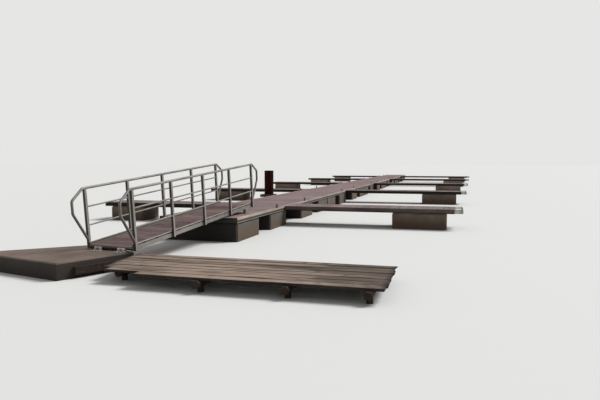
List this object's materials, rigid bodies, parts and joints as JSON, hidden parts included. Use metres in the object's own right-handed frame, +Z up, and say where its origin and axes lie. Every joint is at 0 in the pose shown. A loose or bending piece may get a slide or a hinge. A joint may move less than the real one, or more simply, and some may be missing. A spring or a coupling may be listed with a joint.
{
  "type": "wooden jetty scale model",
  "caption": "Floating timber jetty at half size: a decked walkway on block floats with mooring fingers, a pile, and a hinged gangway with tube rails.",
  "frame": {"origin": "middle of the underside of the first float of the walkway, counted from the shore", "axes": "+Y runs out from the shore along the walkway, +X is to the right seen from the shore, +Z is up"},
  "size_m": [6.595, 26.3835, 0.9135],
  "materials": {
    "concrete": "rough grey concrete, stained brown near the water",
    "abutment_concrete": "rough brownish concrete",
    "galvanised_steel": "dull galvanised",
    "deck_timber": "ribbed and weathered pinkish grey",
    "pale_timber": "weathered pale",
    "brown_timber": "dark and weathered",
    "dark_steel": "dark and worn",
    "rust_red_steel": "dull dark red-brown",
    "black_rubber": "matt"
  },
  "bodies": {
    "jetty": {"walkway_floats_1": "concrete", "walkway_floats_2": "concrete", "walkway_floats_3": "concrete", "walkway_floats_4": "concrete", "walkway_floats_5": "concrete", "walkway_frame_1": "galvanised_steel", "walkway_frame_2": "galvanised_steel", "walkway_frame_3": "galvanised_steel", "walkway_frame_4": "galvanised_steel", "walkway_frame_5": "galvanised_steel", "walkway_deck_1": "deck_timber", "walkway_deck_2": "deck_timber", "walkway_deck_3": "deck_timber", "walkway_deck_4": "deck_timber", "walkway_deck_5": "deck_timber", "walkway_walers": "brown_timber", "walkway_edge_boards": "pale_timber", "bay_couplers": "black_rubber", "cleats": "dark_steel", "finger_floats": "concrete", "finger_frames": "galvanised_steel", "finger_decks": "deck_timber", "finger_side_boards": "deck_timber", "finger_end_brackets": "galvanised_steel", "finger_root_brackets": "rust_red_steel", "mooring_pile": "rust_red_steel", "pile_guide": "dark_steel", "pile_guide_pads": "black_rubber", "shore_abutment": "abutment_concrete", "hinge_brackets": "dark_steel", "landing_boards": "pale_timber", "landing_bearers": "brown_timber", "landing_stakes": "brown_timber", "hinge_pins": "galvanised_steel"},
    "gangway": {"gangway_side_beams": "galvanised_steel", "gangway_bearers": "galvanised_steel", "gangway_deck": "deck_timber", "gangway_toe_rails": "galvanised_steel", "gangway_posts": "galvanised_steel", "gangway_handrails": "galvanised_steel", "gangway_mid_rails": "galvanised_steel", "gangway_knuckles": "galvanised_steel", "wheel_forks": "galvanised_steel", "wheels": "dark_steel", "wheel_axles": "galvanised_steel"}
  },
  "joints": [
    {"name": "gangway_hinge", "type": "hinge", "parent": "jetty", "child": "gangway", "pos_m": [-0.0415, -2.0525, 0.1625], "axis": [0.9962, -0.0872, 0], "range_deg": [0, 8]}
  ]
}
